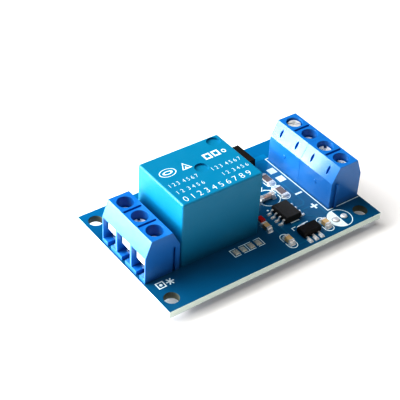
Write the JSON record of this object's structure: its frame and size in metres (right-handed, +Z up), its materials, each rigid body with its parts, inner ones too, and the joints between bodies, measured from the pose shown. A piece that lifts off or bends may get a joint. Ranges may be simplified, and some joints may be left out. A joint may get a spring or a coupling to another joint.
{
  "type": "relay module board",
  "caption": "Circuit board with a cube relay, screw terminal blocks on both short edges and a small driver circuit between them.",
  "frame": {"origin": "middle of the board in plan, on the surface that the trimmed pin ends stand on", "axes": "+X along the board from the 3-way block to the 2-way blocks, +Y across it away from the small parts' near edge, +Z up"},
  "size_m": [0.0536, 0.033, 0.0189],
  "materials": {
    "solder_mask": "glossy blue solder mask over glass epoxy",
    "board_print": "white board print",
    "tinned_pads": "tinned copper",
    "solder": "bright solder",
    "relay_blue": "satin blue moulded case",
    "relay_inside": "black moulding compound",
    "bobbin_white": "white coil former",
    "copper_wire": "enamelled copper winding",
    "relay_iron": "plated iron",
    "contact_bronze": "contact alloy",
    "terminal_blue": "moulded blue plastic",
    "clamp_metal": "tinned steel",
    "guard_metal": "spring steel",
    "screw_metal": "zinc plated steel",
    "chip_black": "black moulded epoxy",
    "lead_metal": "tinned leads",
    "capacitor_tan": "tan ceramic",
    "resistor_black": "dark glazed film",
    "end_metal": "tinned end caps",
    "diode_glass": "clear glass",
    "led_base": "white resin base",
    "led_red": "red resin lens"
  },
  "bodies": {
    "board": {"pcb": "solder_mask", "silkscreen": "board_print", "solder_pads": "tinned_pads", "solder_joints": "solder", "relay_case": "relay_blue", "relay_base": "relay_inside", "relay_bobbin": "bobbin_white", "relay_coil": "copper_wire", "relay_core": "relay_iron", "relay_yoke": "relay_iron", "relay_closed_contact": "contact_bronze", "relay_open_contact": "contact_bronze", "relay_coil_pins": "lead_metal", "left_housing": "terminal_blue", "right_far_housing": "terminal_blue", "right_near_housing": "terminal_blue", "clamp_frame_1": "clamp_metal", "clamp_frame_2": "clamp_metal", "clamp_frame_3": "clamp_metal", "clamp_frame_4": "clamp_metal", "clamp_frame_5": "clamp_metal", "clamp_frame_6": "clamp_metal", "clamp_frame_7": "clamp_metal", "driver_chip": "chip_black", "driver_chip_leads": "lead_metal", "regulator": "chip_black", "regulator_leads": "lead_metal", "capacitors": "capacitor_tan", "capacitor_ends": "end_metal", "resistors": "resistor_black", "resistor_ends": "end_metal", "glass_diode": "diode_glass", "diode_ends": "end_metal", "red_led_base": "led_base", "red_led_lens": "led_red", "optocoupler": "chip_black", "optocoupler_leads": "lead_metal"},
    "armature": {"relay_armature": "relay_iron", "relay_contact_spring": "contact_bronze"},
    "guard_1": {"wire_guard_1": "guard_metal"},
    "screw_1": {"clamp_screw_1": "screw_metal"},
    "guard_2": {"wire_guard_2": "guard_metal"},
    "screw_2": {"clamp_screw_2": "screw_metal"},
    "guard_3": {"wire_guard_3": "guard_metal"},
    "screw_3": {"clamp_screw_3": "screw_metal"},
    "guard_4": {"wire_guard_4": "guard_metal"},
    "screw_4": {"clamp_screw_4": "screw_metal"},
    "guard_5": {"wire_guard_5": "guard_metal"},
    "screw_5": {"clamp_screw_5": "screw_metal"},
    "guard_6": {"wire_guard_6": "guard_metal"},
    "screw_6": {"clamp_screw_6": "screw_metal"},
    "guard_7": {"wire_guard_7": "guard_metal"},
    "screw_7": {"clamp_screw_7": "screw_metal"}
  },
  "joints": [
    {"name": "guard_1_travel", "type": "slide", "parent": "board", "child": "guard_1", "axis": [0, 0, 1], "range_m": [-0.0003, 0.00219]},
    {"name": "screw_1_turn", "type": "hinge", "parent": "guard_1", "child": "screw_1", "pos_m": [-0.02265, -0.00508, 0.00956], "axis": [0, 0, 1], "range_deg": [-245, 1755]},
    {"name": "guard_2_travel", "type": "slide", "parent": "board", "child": "guard_2", "axis": [0, 0, 1], "range_m": [-0.001, 0.00149]},
    {"name": "screw_2_turn", "type": "hinge", "parent": "guard_2", "child": "screw_2", "pos_m": [-0.02265, 0, 0.01026], "axis": [0, 0, 1], "range_deg": [-805, 1195]},
    {"name": "guard_3_travel", "type": "slide", "parent": "board", "child": "guard_3", "axis": [0, 0, 1], "range_m": [-0.0004, 0.00209]},
    {"name": "screw_3_turn", "type": "hinge", "parent": "guard_3", "child": "screw_3", "pos_m": [-0.02265, 0.00508, 0.00966], "axis": [0, 0, 1], "range_deg": [-325, 1675]},
    {"name": "guard_4_travel", "type": "slide", "parent": "board", "child": "guard_4", "axis": [0, 0, 1], "range_m": [-0.0024, 0.00009]},
    {"name": "screw_4_turn", "type": "hinge", "parent": "guard_4", "child": "screw_4", "pos_m": [0.02265, 0.00822, 0.01166], "axis": [0, 0, 1], "range_deg": [-1925, 75]},
    {"name": "guard_5_travel", "type": "slide", "parent": "board", "child": "guard_5", "axis": [0, 0, 1], "range_m": [-0.001, 0.00149]},
    {"name": "screw_5_turn", "type": "hinge", "parent": "guard_5", "child": "screw_5", "pos_m": [0.02265, 0.00314, 0.01026], "axis": [0, 0, 1], "range_deg": [-805, 1195]},
    {"name": "guard_6_travel", "type": "slide", "parent": "board", "child": "guard_6", "axis": [0, 0, 1], "range_m": [-0.0017, 0.00079]},
    {"name": "screw_6_turn", "type": "hinge", "parent": "guard_6", "child": "screw_6", "pos_m": [0.02265, -0.00194, 0.01096], "axis": [0, 0, 1], "range_deg": [-1365, 635]},
    {"name": "guard_7_travel", "type": "slide", "parent": "board", "child": "guard_7", "axis": [0, 0, 1], "range_m": [-0.00125, 0.00124]},
    {"name": "screw_7_turn", "type": "hinge", "parent": "guard_7", "child": "screw_7", "pos_m": [0.02265, -0.00702, 0.01051], "axis": [0, 0, 1], "range_deg": [-1005, 995]},
    {"name": "armature_tilt", "type": "hinge", "parent": "board", "child": "armature", "pos_m": [-0.00145, 0.0001, 0.0153], "axis": [0, -1, 0], "range_deg": [0, 1.9], "stiffness_Nm_per_rad": 0.02, "springref_deg": -5.73}
  ],
  "couplings": [
    {"joint": "screw_1_turn", "follows": "guard_1_travel", "rad_per_m": 13963},
    {"joint": "screw_2_turn", "follows": "guard_2_travel", "rad_per_m": 13963},
    {"joint": "screw_3_turn", "follows": "guard_3_travel", "rad_per_m": 13963},
    {"joint": "screw_4_turn", "follows": "guard_4_travel", "rad_per_m": 13963},
    {"joint": "screw_5_turn", "follows": "guard_5_travel", "rad_per_m": 13963},
    {"joint": "screw_6_turn", "follows": "guard_6_travel", "rad_per_m": 13963},
    {"joint": "screw_7_turn", "follows": "guard_7_travel", "rad_per_m": 13963}
  ]
}
